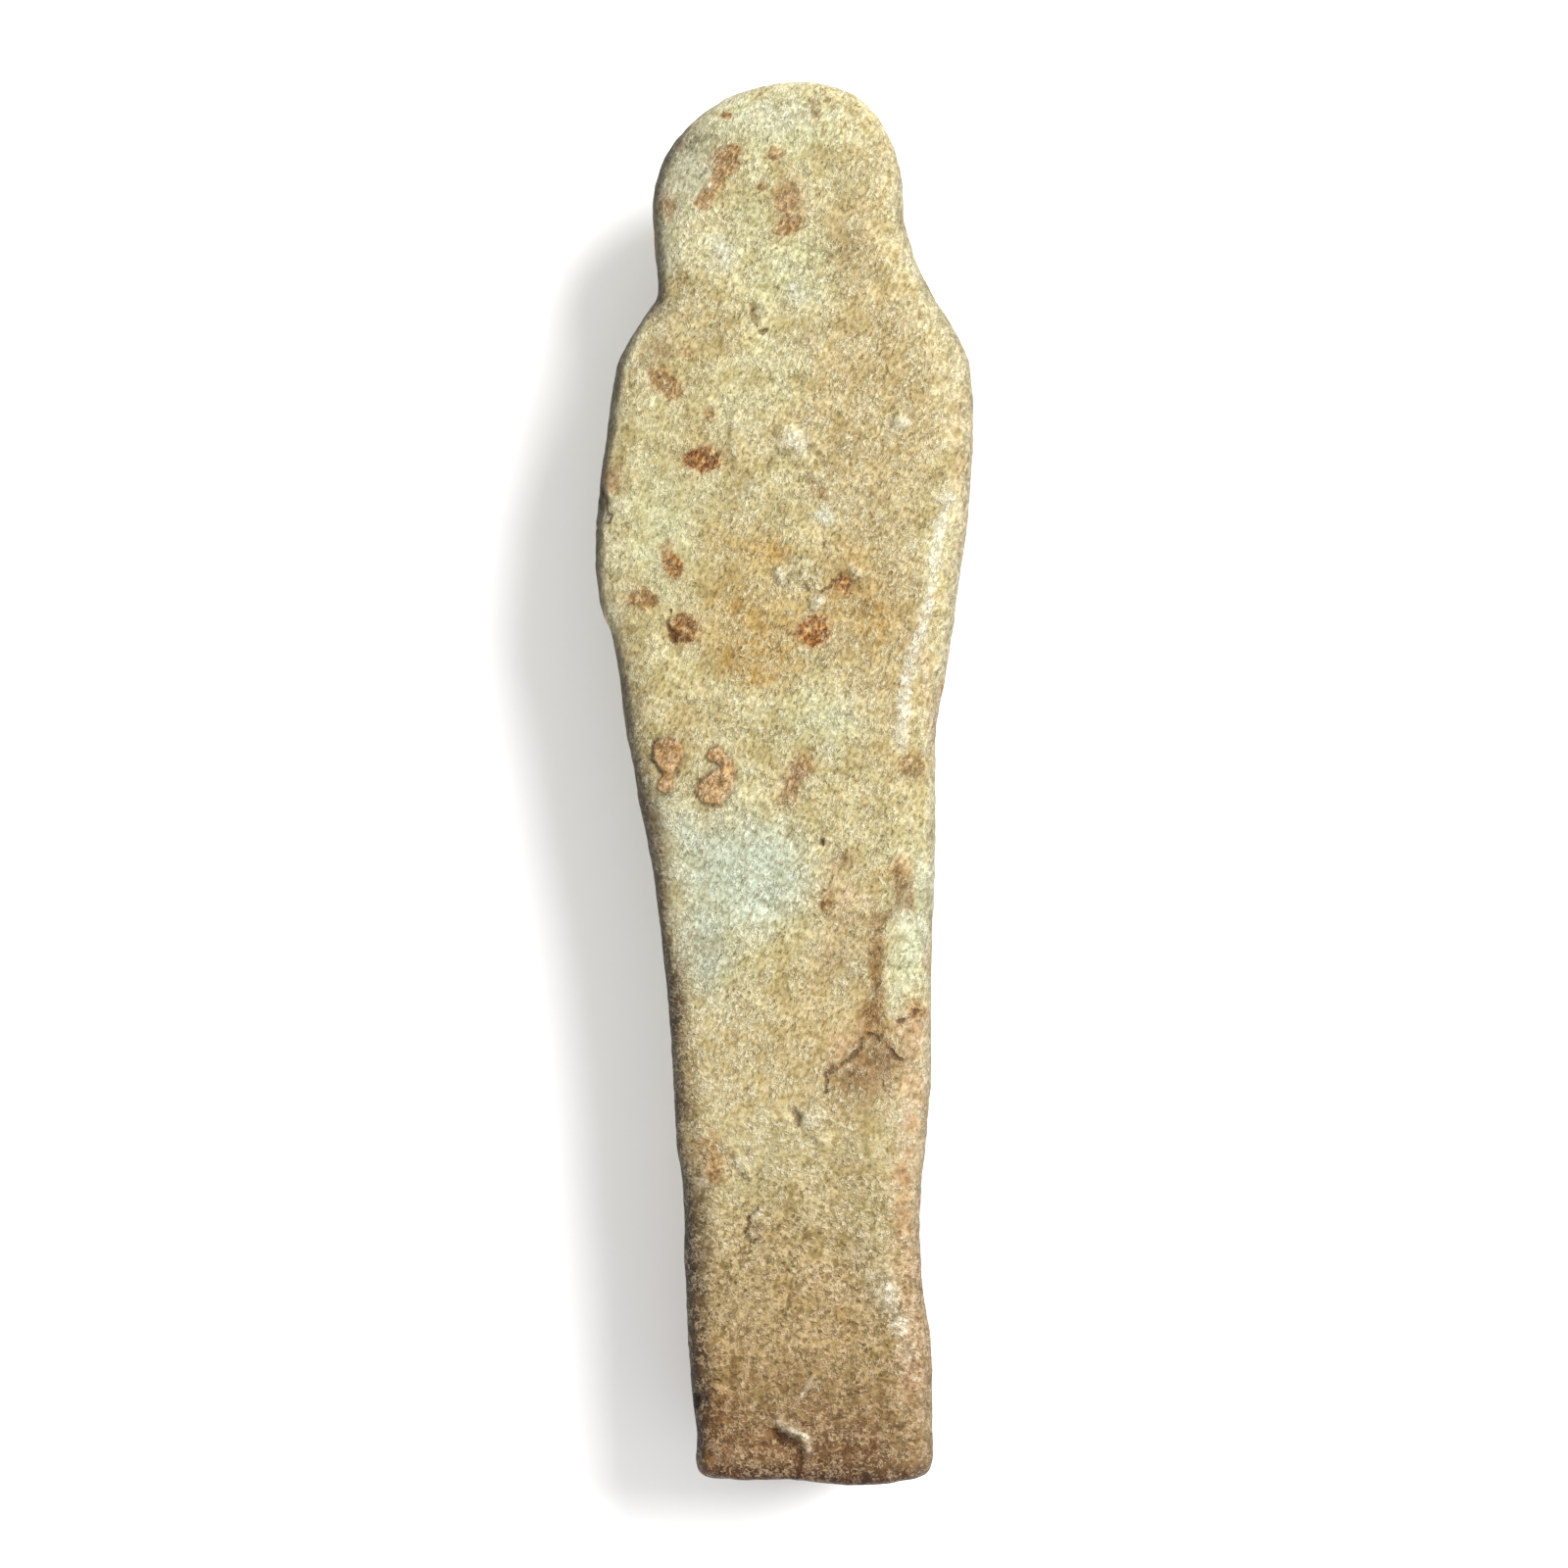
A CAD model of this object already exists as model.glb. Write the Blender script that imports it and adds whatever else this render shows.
import math

import bpy
import numpy as np
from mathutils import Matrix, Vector, noise


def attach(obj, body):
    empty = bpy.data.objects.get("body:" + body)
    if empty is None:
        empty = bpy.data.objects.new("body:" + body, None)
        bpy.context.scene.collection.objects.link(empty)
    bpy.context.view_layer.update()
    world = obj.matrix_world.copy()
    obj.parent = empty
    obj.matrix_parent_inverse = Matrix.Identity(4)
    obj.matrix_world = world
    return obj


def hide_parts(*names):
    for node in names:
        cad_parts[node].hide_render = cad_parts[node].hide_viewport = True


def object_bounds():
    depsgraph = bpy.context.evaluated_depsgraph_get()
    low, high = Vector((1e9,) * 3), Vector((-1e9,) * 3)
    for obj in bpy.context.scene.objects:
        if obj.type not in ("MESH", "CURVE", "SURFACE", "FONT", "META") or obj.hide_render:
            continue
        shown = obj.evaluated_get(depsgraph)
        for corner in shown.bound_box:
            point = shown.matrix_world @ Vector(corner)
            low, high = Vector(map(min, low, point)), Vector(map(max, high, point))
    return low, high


# Faience ushabti lying face down on a pale floor, seen from straight above its flat back.
# Places on the back are (across, up) in millimetres from the middle of the figure.

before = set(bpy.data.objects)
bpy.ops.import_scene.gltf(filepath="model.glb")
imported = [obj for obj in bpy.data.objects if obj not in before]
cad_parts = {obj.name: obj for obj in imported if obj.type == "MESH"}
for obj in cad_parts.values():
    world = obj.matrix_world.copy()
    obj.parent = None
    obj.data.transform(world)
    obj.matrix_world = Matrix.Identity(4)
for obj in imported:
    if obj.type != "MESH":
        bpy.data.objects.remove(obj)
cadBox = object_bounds()
bpy.context.scene.view_settings.view_transform = "Standard"
print("frame loaded")


# Small tools

def selectOnly(piece):
    bpy.ops.object.select_all(action="DESELECT")
    piece.select_set(True)
    bpy.context.view_layer.objects.active = piece


def applyModifier(piece, kind, name, **settings):
    modifier = piece.modifiers.new(name, kind)
    for key, value in settings.items():
        setattr(modifier, key, value)
    selectOnly(piece)
    bpy.ops.object.modifier_apply(modifier=modifier.name)


def wearDown(piece, name, size, depth):  # hollows and swells the surface in clouds of that size
    clouds = bpy.data.textures.new(name, "CLOUDS")
    clouds.noise_scale = size
    applyModifier(piece, "DISPLACE", name, texture=clouds, texture_coords="LOCAL", strength=-depth)


def fade(value, low, high):  # 0 at low, 1 at high, smooth between
    t = np.clip((value - low) / (high - low), 0, 1)
    return t * t * (3 - 2 * t)


def ovalDistance(places, across, up, halfWidth, halfLength, turn):  # 0 in the middle, 1 on the edge
    c, s = math.cos(math.radians(turn)), math.sin(math.radians(turn))
    x, y = places[:, 0] - across, places[:, 1] - up
    return np.hypot((x * c + y * s) / halfWidth, (y * c - x * s) / halfLength)


def pathDistance(places, path):  # millimetres to the nearest part of a line
    nearest = np.full(len(places), 1e3)
    for start, end in zip(path, path[1:]):
        start, run = np.array(start), np.subtract(end, start)
        t = np.clip((places - start) @ run / (run @ run), 0, 1)
        nearest = np.minimum(nearest, np.hypot(*(places - start - t[:, None] * run).T))
    return nearest


def drift(points, size, seed):  # smooth noise at each point, about -1 to 1
    return np.array([noise.noise(Vector(p) / size + Vector((seed, 0, 0))) for p in points])


def readVectors(items, name, kind=np.float32):
    values = np.empty(len(items) * 3, kind)
    items.foreach_get(name, values)
    return values.reshape(-1, 3)


def paint(red, green, blue):  # a colour as it shows on screen, 0 to 255
    seen = np.array((red, green, blue)) / 255
    light = np.where(seen <= 0.04045, seen / 12.92, ((seen + 0.055) / 1.055) ** 2.4)
    return (*(float(c) for c in light), 1.0)


# The figure's mesh: a copy of the solid, remeshed evenly so that it can take pits and flakes

figure = {
    "mergeDistance": 0.000001,
    "voxelSize": 0.00031,
    "smoothing": 0.5,
    "smoothPasses": 5,
    "sunkBack": 0.3,  # mm the plain back lies below the solid's, which leaves room for raised crust
    "unevenness": (0.010, 0.00018),  # size and depth of what the hand left
    "lumps": (0.0026, 0.00018),
    "pits": (0.0009, 0.00012),
}

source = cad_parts["ushabti"]
ushabti = bpy.data.objects.new("ushabti_faience", source.data.copy())
bpy.context.scene.collection.objects.link(ushabti)
selectOnly(ushabti)
bpy.ops.object.mode_set(mode="EDIT")
bpy.ops.mesh.select_all(action="SELECT")
bpy.ops.mesh.remove_doubles(threshold=figure["mergeDistance"])
bpy.ops.object.mode_set(mode="OBJECT")
applyModifier(ushabti, "REMESH", "evenFaces", mode="VOXEL", voxel_size=figure["voxelSize"], adaptivity=0.0)
applyModifier(ushabti, "SMOOTH", "rubbedSoft", factor=figure["smoothing"], iterations=figure["smoothPasses"])
for pattern in ("unevenness", "lumps", "pits"):
    wearDown(ushabti, pattern, *figure[pattern])
print("figure remeshed:", len(ushabti.data.polygons), "faces")

# Relief on the back. Ovals are (across, up, half width, half length, turn in degrees), and the pairs named
# edge say where an effect starts and where it is full, in the oval's own size or in millimetres from a line

relief = {
    "flakes": (  # iron-rich flakes that stand up a little
        (-8.5, 2.1, 1.1, 1.25, 0),
        (-8.4, 0.8, 0.4, 0.6, 0),
        (-8.6, -0.1, 0.6, 0.6, 0),
        (-4.95, -0.2, 1.55, 1.12, 38),
        (-4.2, 1.0, 0.55, 0.9, -8),
        (-4.6, 1.75, 0.5, 0.4, 0),
        (-5.1, 2.1, 0.6, 0.55, 20),
    ),
    "flakeHeight": 0.24,
    "dents": (  # ovals with a depth in millimetres at the end
        (-2.1, 34.1, 0.35, 1.0, 15, 0.2),
        (-1.6, 32.7, 0.4, 0.4, 0, 0.4),
        (0.5, 14.9, 0.4, 1.1, -50, 0.3),
        (1.5, 14.1, 0.4, 0.5, 0, 0.28),
        (0.9, -23.9, 0.4, 0.8, -15, 0.42),
        (5.7, -21.2, 2.6, 1.9, 20, 0.2),
        (2.3, -26.2, 0.45, 0.6, 0, 0.1),
        (0.1, -47.3, 0.5, 1.2, 60, 0.34),
        (1.1, -48.4, 0.3, 0.7, 0, 0.2),
        (-6.3, -44.6, 0.6, 0.7, 0, 0.4),
        (2.6, -4.15, 0.28, 0.28, 0, 0.35),
        (-5.3, -14.15, 0.25, 0.25, 0, 0.16),
        (6.2, -27.75, 0.3, 0.3, 0, 0.14),
        (-2.8, -19.8, 0.35, 0.35, 0, 0.15),
        (-13.2, 20.1, 0.5, 1.3, 0, 0.3),
        (4.2, 14.4, 1.1, 0.9, -40, 0.12),
        (1.4, 24.5, 0.4, 0.45, 0, 0.26),
        (2.3, 23.6, 0.4, 1.4, 45, 0.16),
        (-1.1, 23.2, 0.4, 1.2, -30, 0.12),
        (-5.4, 26.8, 0.4, 0.6, 0, 0.14),
        (-2.2, -32.4, 0.8, 1.2, -15, 0.2),
        (-7.5, 36.4, 0.5, 0.7, 0, 0.14),
        (3.1, 17.2, 0.4, 0.5, 0, 0.14),
        (-7.9, 9.9, 0.5, 1.1, 20, 0.1),
    ),
    "swellings": (  # ovals with a height
        (0.3, 25.0, 1.0, 1.2, 0, 0.34),
        (2.1, -24.1, 0.9, 1.4, -15, 0.31),
        (2.8, -25.6, 0.7, 0.6, 0, 0.20),
        (-2.1, -32.0, 0.7, 1.0, -15, 0.28),
        (-0.3, -46.3, 0.55, 0.7, 20, 0.25),
        (0.8, -46.9, 0.75, 1.0, 65, 0.27),
        (1.6, -48.0, 0.6, 0.8, 10, 0.24),
        (-5.2, -43.9, 0.9, 0.8, 0, 0.22),
        (-0.3, 15.3, 0.55, 0.6, 0, 0.34),
        (1.5, -43.7, 0.35, 1.4, -40, 0.28),
        (1.2, 15.4, 0.45, 1.1, -50, 0.28),
        (2.5, 13.1, 0.5, 0.8, -40, 0.28),
        (-4.0, 33.0, 1.2, 2.2, 10, 0.11),
        (8.4, 26.2, 0.7, 0.6, 0, 0.28),
        (-3.4, 25.0, 0.5, 3.4, 0, 0.17),
        (1.8, 22.4, 1.6, 0.4, -10, 0.20),
        (5.2, 15.4, 0.4, 1.0, 40, 0.20),
        (3.1, 17.4, 0.35, 0.6, 0, 0.18),
        (4.0, -20.4, 1.0, 0.7, 30, 0.20),
        (6.6, -35.0, 1.2, 3.4, 18, 0.17),
        (-3.4, -27.0, 0.5, 2.4, 40, 0.17),
    ),
    "channel": ((8.6, -6.6), (7.6, -8.8), (7.0, -11.3), (6.7, -14.1), (6.2, -17.0), (6.2, -18.4)),
    "channelEdge": (0.9, 0.1),
    "channelDepth": 0.12,
    "cracks": (  # how plain it is, then its path
        (1.0, (6.2, -18.2), (7.4, -18.9), (8.8, -20.1)),
        (1.0, (6.2, -18.2), (4.7, -19.7), (3.0, -21.2), (3.0, -22.1)),
        (0.95, (7.3, -17.7), (8.3, -17.5), (9.6, -16.5)),
        (0.85, (3.3, -6.6), (3.2, -7.4), (2.5, -8.8)),
        (0.76, (7.3, -9.2), (6.7, -12.0), (6.5, -14.6), (6.1, -17.4)),
        (0.85, (-2.3, 34.7), (-2.1, 33.7), (-1.6, 32.8)),
        (0.9, (-9.4, 3.4), (-9.8, 2.1), (-9.1, 0.8)),
        (0.95, (-8.3, 12.4), (-8.3, 11.3), (-8.0, 10.3)),
        (0.9, (2.5, 13.7), (3.3, 14.3), (4.0, 15.2)),
        (1.0, (-0.8, -46.8), (-0.4, -47.5), (0.4, -47.8)),
        (0.95, (1.1, -48.2), (1.4, -48.6), (0.8, -49.7)),
        (0.92, (-2.1, -30.8), (-2.6, -31.5), (-2.9, -32.5)),
        (0.9, (-6.5, -44.8), (-5.7, -43.3), (-4.6, -42.9)),
        (0.85, (-2.4, -33.1), (-1.9, -32.6)),
        (0.8, (-2.2, -31.8), (-2.1, -32.4)),
        (0.82, (2.6, 18.1), (2.7, 17.2), (3.3, 16.6)),
        (0.8, (1.1, -23.3), (0.9, -24.0), (1.2, -24.6)),
        (1.0, (-13.4, 21.4), (-13.0, 20.4), (-12.8, 19.1)),
        (0.9, (-6.2, 0.2), (-6.0, -0.9), (-5.2, -1.4)),
        (0.82, (5.2, -19.4), (5.6, -20.6), (5.0, -21.8)),
        (0.8, (7.6, -19.6), (7.0, -21.0), (7.4, -22.4)),
        (1.0, (2.6, -4.1), (2.6, -4.2)),
        (0.75, (-5.3, -14.1), (-5.3, -14.2)),
        (0.7, (6.2, -27.7), (6.2, -27.8)),
    ),
    "crackDepth": 0.08,
    "crackWidth": 0.8,
    "crackEdge": (0.4, 0.95),
    "crust": ((11.8, 20.6), (11.2, 17.8), (10.7, 14.8), (10.0, 11.3), (9.0, 8.5), (8.6, 5.7), (8.6, 3.1)),
    "crustHeight": 0.07,
    "crustEdge": (0.9, 0.2),
    "crustWaver": (0.5, 0.8, 9),  # amount, size and seed
    "flakeEdge": (1.12, 0.92),
    "flakeGroove": (1.2, 0.15, 0.02),  # where round each flake, its width and its depth
    "dentEdge": (1.3, 0.35),
    "swellingEdge": (1.2, 0.5),
    "ragged": (0.25, 1.1, (3, 40)),  # how broken edges stray: amount, size and seeds
    "torn": (0.35, 0.7, (60, 80)),
    "backFaces": (-0.1, 0.35),
    "backHeights": (11.0, 14.0),
    "flatFaces": (0.5, 0.95),
    "fineAroundOvals": 1.4,
    "fineAroundCracks": 0.5,
    "fineFacesUp": 0.2,
    "outward": 0.1,
    "corners": ((-6.2, -50.2, 0.4), (10.7, -50.5, 0.45)),  # where the foot end is squarer, and by how much
    "cornerReach": 1.5,
    "cornerHeights": (7, 11),
    "pressedIn": 0.001,
}

mesh = ushabti.data

# Finer faces where there is fine relief
centres = readVectors(mesh.polygons, "center")[:, :2] * 1000
ovals = [oval[:5] for oval in relief["flakes"] + relief["dents"] + relief["swellings"]]
near = np.min([ovalDistance(centres, *oval) for oval in ovals], 0) < relief["fineAroundOvals"]
lines = [path for plain, *path in relief["cracks"]]
near |= np.min([pathDistance(centres, path) for path in lines], 0) < relief["fineAroundCracks"]
near &= readVectors(mesh.polygons, "normal")[:, 2] > relief["fineFacesUp"]
bpy.context.tool_settings.mesh_select_mode = (False, False, True)
mesh.vertices.foreach_set("select", np.zeros(len(mesh.vertices), bool))
mesh.edges.foreach_set("select", np.zeros(len(mesh.edges), bool))
mesh.polygons.foreach_set("select", near)
bpy.ops.object.mode_set(mode="EDIT")
bpy.ops.mesh.subdivide(number_cuts=1)
bpy.ops.object.mode_set(mode="OBJECT")
print("faces with the fine ones:", len(mesh.polygons))

count = len(mesh.vertices)
points = readVectors(mesh.vertices, "co", np.float64)
normals = readVectors(mesh.vertex_normals, "vector")
millimetres = points * 1000
onBack = fade(normals[:, 2], *relief["backFaces"]) * fade(millimetres[:, 2], *relief["backHeights"])
onFlat = fade(normals[:, 2], *relief["flatFaces"])


def stray(places, amount, size, seeds):  # places moved about, so that what is drawn there has broken edges
    return places + amount * np.stack([drift(millimetres, size, seed) for seed in seeds], 1)


flat = millimetres[:, :2]
ragged = stray(flat, *relief["ragged"])
torn = stray(ragged, *relief["torn"])

depth = figure["sunkBack"] * onFlat
for oval in relief["flakes"]:
    r = ovalDistance(ragged, *oval)
    depth -= relief["flakeHeight"] * fade(r, *relief["flakeEdge"]) * onFlat
    grooveAt, grooveWidth, grooveDepth = relief["flakeGroove"]
    depth += grooveDepth * np.exp(-(((r - grooveAt) / grooveWidth) ** 2)) * onFlat
for *oval, deep in relief["dents"]:
    depth += deep * fade(ovalDistance(torn, *oval), *relief["dentEdge"]) * onBack
for *oval, high in relief["swellings"]:
    depth -= high * fade(ovalDistance(ragged, *oval), *relief["swellingEdge"]) * onFlat
channel = pathDistance(torn, relief["channel"])
depth += relief["channelDepth"] * fade(channel, *relief["channelEdge"]) * onBack
crackWidth = relief["crackWidth"]
crack = np.max([plain - pathDistance(torn, path) / crackWidth for plain, *path in relief["cracks"]], 0)
depth += relief["crackDepth"] * fade(crack, *relief["crackEdge"]) * onBack
crust = pathDistance(ragged, relief["crust"])
waver, waverSize, waverSeed = relief["crustWaver"]
crustHere = fade(crust + waver * drift(millimetres, waverSize, waverSeed), *relief["crustEdge"])
depth -= relief["crustHeight"] * crustHere * onBack
points -= normals * (depth / 1000)[:, None]
points[:, :2] += normals[:, :2] * (relief["outward"] / 1000)
for across, up, push in relief["corners"]:
    pull = np.exp(-(np.hypot(flat[:, 0] - across, flat[:, 1] - up) / relief["cornerReach"]) ** 2)
    pull *= push / 1000 * fade(millimetres[:, 2], *relief["cornerHeights"])
    points[:, 0] += pull * math.copysign(1, across)
    points[:, 1] -= pull
margin = relief["pressedIn"]
for axis in range(3):  # presses the outermost millimetre back to the solid's own size
    for side, limit in ((-1, cadBox[0][axis]), (1, cadBox[1][axis])):
        reach = points[:, axis] * side - (limit * side - margin)
        points[:, axis] -= side * np.maximum(reach, 0) * (1 - margin / reach.max())
mesh.vertices.foreach_set("co", points.ravel())
mesh.update()
print("back carved")

# What colours the surface, as masks on the mesh.
# Zones are (across, up, half width, half length, turn, amount)

marks = {
    "ironSpots": (  # iron grains fired into the paste
        (-4.2, 48.4, 0.4, 0.4, 0, 0.8), (-4.2, 45.0, 1.05, 1.25, -25, 0.75),
        (-4.9, 43.4, 0.65, 1.0, -30, 0.6), (-5.8, 42.2, 0.6, 0.9, -20, 0.6), (-0.6, 45.5, 0.6, 0.6, 0, 0.55),
        (-1.8, 43.1, 0.4, 0.4, 0, 0.55), (0.1, 42.4, 1.1, 1.1, -20, 0.4), (0.2, 40.3, 0.75, 1.2, -60, 0.75),
        (2.1, 49.1, 0.45, 0.6, 0, 0.35), (2.3, 48.2, 0.45, 0.4, 0, 0.35), (-7.5, 36.6, 0.55, 0.75, 0, 0.25),
        (-7.1, 31.3, 0.5, 0.5, 0, 0.35), (-8.6, 28.8, 0.75, 1.5, 50, 0.7), (-5.4, 26.8, 0.45, 0.7, 0, 0.5),
        (-5.9, 23.5, 1.0, 1.4, 90, 1.1), (-8.6, 17.0, 0.5, 0.5, 0, 0.5), (-8.2, 15.8, 0.65, 1.1, 25, 0.95),
        (-10.3, 13.4, 0.75, 1.2, 80, 0.7), (-7.2, 11.2, 1.15, 1.15, 0, 0.9), (2.0, 11.0, 1.2, 1.05, 0, 1.1),
        (4.2, 14.4, 0.7, 0.7, 0, 0.85), (1.2, 1.2, 0.9, 1.0, -30, 0.5), (0.3, -0.7, 0.7, 1.4, -25, 0.38),
        (9.1, 1.3, 1.0, 0.9, 0, 0.52), (2.9, -8.8, 0.4, 0.5, -20, 0.6), (3.1, -4.4, 0.25, 0.3, 0, 0.35),
        (-5.5, -26.6, 0.8, 1.0, 0, 0.3), (-5.0, -28.4, 0.5, 0.8, 10, 0.5), (9.6, -16.5, 0.6, 0.6, -30, 0.5),
        (0.8, -49.5, 0.5, 0.9, -20, 0.6), (8.6, -6.0, 0.7, 0.9, 0, 0.25), (6.2, -17.2, 0.65, 1.2, 5, 0.3),
        (2.8, 20.9, 0.5, 0.5, 0, 0.35), (2.6, 36.8, 0.4, 0.4, 0, 0.25), (-8.5, 41.8, 0.5, 0.7, 0, 0.25),
        (-12.6, 22.0, 0.4, 0.8, 0, 0.3),
    ),
    "warmPaste": (
        (5.5, 28.0, 4.5, 13.0, 0, 1.0), (7.0, 8.0, 3.0, 7.0, 0, 1.2), (9.5, 27.0, 3.0, 7.0, 0, 0.6),
        (4.4, 39.2, 2.4, 3.0, 0, 1.0), (5.0, 13.0, 4.4, 4.0, 0, 0.7), (-7.5, 3.5, 3.0, 4.0, 0, 0.7),
        (-8.0, 34.0, 3.0, 4.0, 0, 0.5), (5.0, -14.0, 3.5, 9.0, 0, 1.0), (-1.0, -20.0, 12.0, 7.0, 0, 0.8),
        (0.5, 45.0, 1.6, 1.8, 0, 0.4),
    ),
    "lowPaste": (
        (0.0, -44.0, 16.0, 17.0, 0, 1.0), (-8.2, -21.0, 2.0, 8.0, 0, 0.5), (-9.0, -10.0, 1.2, 9.0, 0, 0.4),
    ),
    "deepBrown": (
        (2.0, -51.5, 12.0, 8.0, 0, 1.0), (-5.5, -47.0, 2.0, 4.0, 0, 0.5), (7.0, -47.0, 3.5, 5.0, 0, 0.1),
        (4.6, -50.2, 3.4, 2.0, 0, 0.8),
    ),
    "greyVeil": (
        (-6.3, 45.6, 2.4, 4.6, -25, 1.05), (-6.0, -12.0, 1.8, 2.8, 0, 1.0), (-6.4, 46.6, 0.9, 1.2, 0, 0.6),
        (-9.4, -2.6, 1.3, 3.0, 0, 0.8), (-8.5, 38.0, 1.2, 4.0, 0, 0.5), (-8.0, 5.6, 2.2, 2.6, 0, 0.2),
    ),
    "paleBlue": (
        (0.0, 48.3, 4.5, 1.6, 0, 0.55), (-4.5, 38.5, 1.2, 1.8, 0, 0.8), (0.9, 35.3, 1.2, 1.2, 0, 0.7),
        (-2.6, 21.3, 0.9, 1.2, 0, 0.6), (3.0, 19.3, 0.8, 0.8, 0, 0.9), (8.2, 26.0, 1.0, 0.8, 0, 0.7),
        (3.2, 2.8, 0.7, 1.4, 20, 0.5), (4.0, 5.6, 2.0, 1.4, 0, 0.35), (-3.8, -38.5, 1.6, 1.6, 0, 0.3),
        (7.2, -37.0, 1.8, 3.8, 15, 0.6),
    ),
    "turquoise": (
        (-3.8, -6.2, 4.4, 4.0, 0, 0.95), (-0.6, -6.8, 2.6, 3.6, 0, 0.5), (-5.6, -12.4, 2.0, 3.8, 15, 0.65),
        (-7.4, -3.4, 2.0, 2.2, 0, 0.35), (4.4, -13.0, 1.2, 3.0, 0, 0.3), (9.4, -9.6, 1.8, 5.6, -6, 0.55),
    ),
    "mint": (
        (10.2, -8.4, 1.9, 6.4, -6, 0.75), (8.4, -13.8, 1.4, 3.4, 0, 0.6), (-2.8, -37.5, 2.4, 3.0, 0, 0.5),
        (6.8, -36.0, 1.4, 2.4, 20, 0.5), (-0.5, 47.8, 5.5, 3.4, 0, 1.0), (0.5, 37.4, 4.0, 3.2, 0, 1.0),
        (-2.6, 41.6, 1.4, 1.6, 0, 0.8), (-9.0, 19.0, 3.5, 6.0, 0, 0.7), (2.6, 4.4, 4.0, 2.2, 0, 0.8),
        (-2.0, 28.5, 4.0, 2.6, 20, 0.5),
    ),
    "ochre": (
        (9.2, -28.0, 2.0, 8.0, 0, 0.45), (4.2, 47.7, 0.8, 0.6, 0, 0.7), (-0.8, 16.8, 1.0, 0.8, 0, 0.6),
        (-1.4, 8.8, 1.5, 1.2, 0, 0.6), (6.4, 10.6, 1.0, 2.0, 0, 0.5), (7.6, -6.4, 1.6, 0.7, 30, 0.7),
        (-2.6, 12.0, 4.2, 3.8, 0, 1.0), (-1.8, 8.4, 2.6, 1.4, 0, 1.0), (-0.7, 17.0, 2.2, 1.6, 0, 0.6),
        (5.6, 13.0, 3.4, 2.8, 0, 0.75), (5.0, 17.2, 2.2, 1.6, 0, 0.45), (5.2, -20.4, 2.6, 1.9, 20, 0.5),
        (-5.3, -44.2, 1.2, 1.2, 0, 0.8), (-5.0, 17.5, 2.2, 2.0, 0, 0.5), (-6.8, 25.0, 1.6, 4.0, 0, 0.35),
        (8.7, -7.4, 0.7, 2.0, 12, 1.0), (6.1, -17.0, 0.9, 1.5, 0, 1.6), (6.6, -13.0, 0.6, 4.4, 2, 1.0),
        (-5.3, -27.0, 1.3, 1.9, 0, 0.9), (9.6, -15.8, 1.4, 0.8, 20, 0.6),
    ),
    "brownSoil": (
        (8.6, -7.4, 0.6, 1.7, 12, 1.6), (7.6, -9.3, 0.4, 1.3, -54, 1.0), (5.5, -21.0, 3.0, 2.2, 20, 0.95),
        (3.3, -8.6, 0.6, 1.2, 0, 0.5), (3.4, -12.6, 1.4, 1.6, 0, 0.6), (7.6, -19.4, 2.0, 0.8, -30, 0.8),
        (4.6, 39.2, 1.6, 2.0, 0, 0.6), (6.7, -13.4, 0.5, 4.2, 3, 1.35), (6.2, -17.8, 0.6, 1.4, 0, 1.1),
        (7.4, 44.0, 1.2, 3.0, 20, 0.3), (-6.0, -12.5, 1.8, 2.2, 0, 0.5), (5.0, -50.2, 3.2, 1.3, 0, 0.8),
        (-7.2, 33.8, 1.6, 2.0, 0, 0.35), (-9.0, 31.2, 1.6, 1.2, 40, 0.75), (4.0, -5.6, 2.6, 1.6, 0, 0.4),
        (5.2, -28.0, 2.6, 5.0, 0, 0.4), (-2.2, -32.2, 0.8, 1.2, 0, 0.75), (4.6, 14.2, 1.2, 1.1, 0, 0.6),
        (0.0, -42.5, 4.0, 2.0, 0, 0.4), (0.1, -47.4, 0.7, 1.3, 60, 0.9), (-6.2, -44.8, 0.9, 1.0, 0, 0.8),
        (4.4, -5.2, 0.8, 0.8, 0, 0.5), (6.0, -16.9, 0.7, 1.3, 0, 0.9),
    ),
    "pinkPaste": (
        (3.2, -7.4, 1.5, 3.2, 0, 0.32), (4.6, -9.5, 1.6, 2.6, 0, 0.4), (-5.3, -27.0, 1.6, 2.0, 0, 0.8),
        (9.4, -17.2, 1.3, 1.6, 0, 0.6), (9.8, -30.0, 2.0, 11.0, 0, 1.2), (10.8, 5.0, 0.9, 7.0, 8, 0.6),
        (-8.6, 41.9, 0.8, 1.1, 0, 0.7), (1.8, 32.3, 0.9, 0.7, 0, 0.5), (2.1, 21.2, 0.8, 0.7, 0, 0.5),
        (-12.5, 22.0, 0.7, 1.0, 0, 0.8), (0.7, 0.4, 1.2, 2.2, -25, 0.7), (0.4, 42.2, 1.3, 2.0, 0, 0.7),
        (9.6, -43.0, 1.6, 3.0, 0, 0.6), (8.6, -6.2, 0.9, 1.2, 0, 0.35), (5.4, -19.8, 2.6, 2.4, 0, 0.9),
        (-8.9, 0.6, 1.6, 2.4, 0, 0.4), (12.8, 24.0, 1.2, 12.0, 2, 0.45), (10.6, -12.6, 0.6, 0.8, 0, 0.7),
    ),
    "crustSpots": (
        (0.9, 24.8, 0.9, 1.0, 0, 0.9), (-5.9, -28.9, 0.5, 0.7, 0, 0.7), (-12.9, 19.5, 0.3, 0.8, 0, 0.8),
        (-0.3, 15.2, 0.45, 0.55, 0, 0.9), (-0.3, -46.2, 0.3, 0.6, 20, 0.55),
        (0.8, -46.9, 0.55, 1.0, 65, 0.6), (1.7, -48.0, 0.34, 0.7, 10, 0.5), (0.7, 41.0, 0.25, 0.5, -30, 0.6),
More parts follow.
